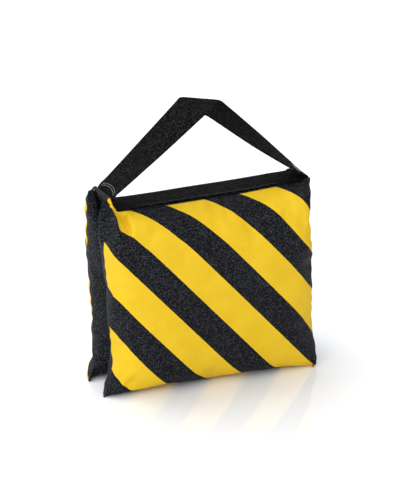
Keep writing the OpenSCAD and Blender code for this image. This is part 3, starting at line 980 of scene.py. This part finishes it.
def zip_slider(side, normal):
    """Shield-shaped plates above and below the teeth, a post between them, two lugs and a pin."""
    soup = Soup()
    edge = [(-7.2, 3.0), (-6.6, 4.0), (-3.0, 4.6), (2.0, 5.0), (5.6, 4.8), (7.2, 3.6), (7.5, 1.6)]
    shield = [(x, -a) for x, a in edge] + [(6.6, 0)] + edge[::-1]
    shield = [(SLIDER_X + x, ZIP_DROP + a) for x, a in shield]
    plate(soup, side, shield, 1.1, 2.5, 0.4)
    plate(soup, side, shield, -3.4, -2.0, 0.4)
    plate(soup, side, capsule(SLIDER_X + 5.0, ZIP_DROP, 1.6, 0.9, 12), -2.2, 1.3, 0.1)
    lug = [(-3.4, 2.3), (-2.6, 4.2), (-1.4, 5.6), (0, 6.1), (1.4, 5.6), (2.6, 4.2), (3.4, 2.3)]
    for a in (-2.7, 2.7):
        soup.rings([[wall_point(side, SLIDER_X + x, ZIP_DROP + a + b, h) for x, h in lug]
                    for b in (-0.75, 0.75)])
    soup.rod([wall_point(side, SLIDER_X, ZIP_DROP + a, PIN_H) for a in (-2.9, 0, 2.9)], 0.75, normal, 12)
    ob = soup.make(f"{side}_slider", MAT["metal"])
    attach(ob, f"{side}_zip_slider")
    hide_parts(f"{side}_zip_slider")


def zip_pull(side):
    """A ring on the slider's pin and a long tab with a slot."""
    soup = Soup()
    circle = [(math.cos(q), math.sin(q)) for q in np.linspace(0, 2 * math.pi, 18, endpoint=False)]
    section = ((1.7, -1.6), (1.7, 1.6), (0.82, 1.6), (0.82, -1.6), (1.7, -1.6))
    soup.rings([[wall_point(side, SLIDER_X + r * c, ZIP_DROP + b, PIN_H + r * q) for c, q in circle]
                for r, b in section], closed_ends=False)
    neck = capsule(SLIDER_X - 4.6, ZIP_DROP, 3.6, 1.5)
    tab, slot = capsule(SLIDER_X - 15.4, ZIP_DROP, 8.6, 3.9), capsule(SLIDER_X - 17.5, ZIP_DROP, 4.4, 1.7)
    plate(soup, side, neck, PIN_H - 0.65, PIN_H + 0.65, 0.25)
    plate(soup, side, tab, PIN_H - 0.7, PIN_H + 0.7, 0.3, slot)
    ob = soup.make(f"{side}_pull", MAT["metal"])
    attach(ob, f"{side}_zip_pull")
    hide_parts(f"{side}_zip_pull")


for side in SIDES:
    wall_normal = wall_point(side, 0, 0, 1) - wall_point(side, 0, 0, 0)
    zip_tapes(side)
    zip_coil(side)
    zip_stops(side)
    zip_stitching(side, wall_normal)
    zip_slider(side, wall_normal)
    zip_pull(side)

# ---- inside the pouches ---------------------------------------------------------------------


def closed_shell(name, outer, inner, mat):
    """Two sheets of points joined round their borders."""
    rows, cols = outer.shape[:2]
    n = rows * cols
    top = np.arange(n).reshape(rows, cols)
    low = top.copy()
    low[1:-1, 1:-1] = n + np.arange((rows - 2) * (cols - 2)).reshape(rows - 2, cols - 2)
    verts = np.vstack([outer.reshape(-1, 3), inner[1:-1, 1:-1].reshape(-1, 3)])
    faces = []
    for r in range(rows - 1):
        for c in range(cols - 1):
            quad = [(r, c), (r + 1, c), (r + 1, c + 1), (r, c + 1)]
            faces += [[top[q] for q in quad], [low[q] for q in quad[::-1]]]
    return mesh_object(name, verts, faces, (mat,))


def inner_shell(side, name, mat, gap_x, gap_y, z_low, z_high):
    """A bag lying inside the pouch, that far from its fabric in mm."""
    outer, inner = panel_grids(side)
    mid = (outer + inner) / 2
    rows = [r for r in range(6, len(mid) - 1) if z_low < mid[r, COLS // 2, 2] < z_high][::2]
    cols = list(range(0, COLS + 1, 2))
    mid, half = mid[np.ix_(rows, cols)], ((outer - inner) / 2)[np.ix_(rows, cols)]
    depth = np.abs(half[:, :, 1:2])
    half = half * np.clip(1 - gap_y / np.maximum(depth, 1e-6), 0, 1) * np.array([0, 1, 0])
    half[0] = half[-1] = half[:, 0] = half[:, -1] = 0
    mid[:, :, 0] *= 1 - gap_x / 125
    mid[:, :, 2] = np.maximum(mid[:, :, 2], z_low)
    sign = np.array([1, SIDES[side], 1])
    return closed_shell(name, (mid + half) * sign, (mid - half) * sign, mat)


def seam_binding(side):
    """Tape folded over the seam allowance inside the side and bottom seams."""
    outer, inner = panel_grids(side)
    mid = (outer + inner) / 2
    path = np.vstack([mid[8:-1, 0], mid[-1, 1:-1], mid[8:-1, -1][::-1]])
    path = along(path, np.linspace(0, 1, 260))[0] * np.array([0.945, SIDES[side], 1])
    path[:, 2] = np.maximum(path[:, 2], 4.0)
    path = path[(path[:, 2] > 38) | (np.abs(path[:, 0]) < 94)]          # cut across the drawn-out corners
    centre = np.array([0, 0, 105.0])
    half_thickness = np.array([0, 0.45, 0])
    section = ((2.2, -1), (2.0, 0), (2.2, 1), (8.5, 1), (8.5, -1))
    rings = []
    for q in path:
        inward = (centre - q) * np.array([1, 0, 1])
        inward /= np.linalg.norm(inward)
        rings.append([q + inward * d + half_thickness * k for d, k in section])
    soup = Soup()
    soup.rings(rings)
    return soup.make(f"{side}_binding_tape", MAT["webbing"], False)


for side in SIDES:
    liner = inner_shell(side, f"{side}_liner_bag", MAT["liner"], 11.0, 3.5, 5.0, 165.0)
    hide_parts(f"{side}_liner_front", f"{side}_liner_back")
    sand = inner_shell(side, f"{side}_sand", MAT["sand"], 16.0, 6.5, 9.0, 150.0)
    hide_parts(f"{side}_sand_fill")
    tape = seam_binding(side)
    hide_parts(f"{side}_seam_binding")
    for ob in (liner, sand, tape):
        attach(ob, f"{side}_pouch")

# ---- materials of the CAD pieces that stay ---------------------------------------------------
for side in SIDES:
    for part in ("liner_hook_strip", "liner_loop_strip"):
        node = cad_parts[f"{side}_{part}"]
        node.data.materials.clear()
        node.data.materials.append(MAT["hooks"])

# ---- floor and light ------------------------------------------------------------------------
FLOOR_HALF = 4000                          # mm


def add_floor():
    n = Nodes("floor")
    coord = n.add("ShaderNodeTexCoord").outputs["Object"]
    tone = n.mix(n.noise(coord, 3.0), (0.96, 0.97, 0.995, 1), (0.965, 0.975, 1.0, 1))
    n.set(Base_Color=tone, Roughness=0.04, Specular_IOR_Level=0.6)
    corners = [(x * FLOOR_HALF, y * FLOOR_HALF, 0) for x, y in ((-1, -1), (1, -1), (1, 1), (-1, 1))]
    mesh_object("floor", corners, [(0, 1, 2, 3)], (n.mat,), smooth_shade=False)


def area_light(name, location, aim, size, power):
    data = bpy.data.lights.new(name, "AREA")
    data.shape = "SQUARE"
    data.size = size
    data.energy = power
    ob = bpy.data.objects.new(name, data)
    bpy.context.collection.objects.link(ob)
    ob.location = location
    ob.rotation_mode = "QUATERNION"
    ob.rotation_quaternion = (Vector(location) - Vector(aim)).to_track_quat("Z", "Y")


def add_world():
    """White surroundings, brighter to the front left and above than behind on the right."""
    world = bpy.data.worlds.new("world")
    bpy.context.scene.world = world
    world.use_nodes = True
    nodes, links = world.node_tree.nodes, world.node_tree.links
    toward = nodes.new("ShaderNodeVectorMath")
    toward.operation = "DOT_PRODUCT"
    toward.inputs[1].default_value = (-0.85, -0.35, 0.40)
    level = nodes.new("ShaderNodeMath")
    level.operation = "MULTIPLY_ADD"
    level.inputs[1].default_value = 0.50
    level.inputs[2].default_value = 0.82
    links.new(nodes.new("ShaderNodeTexCoord").outputs["Generated"], toward.inputs[0])
    links.new(toward.outputs["Value"], level.inputs[0])
    links.new(level.outputs[0], nodes["Background"].inputs[1])
    nodes["Background"].inputs[0].default_value = (1, 1, 1, 1)


add_floor()
area_light("key", (-1.6, -1.6, 1.1), (0, 0, 0.12), 1.2, 11)
area_light("top", (-0.35, 1.4, 2.4), (0, 0.1, 0.0), 2.2, 40)
add_world()
bpy.context.scene.view_settings.view_transform = "Standard"
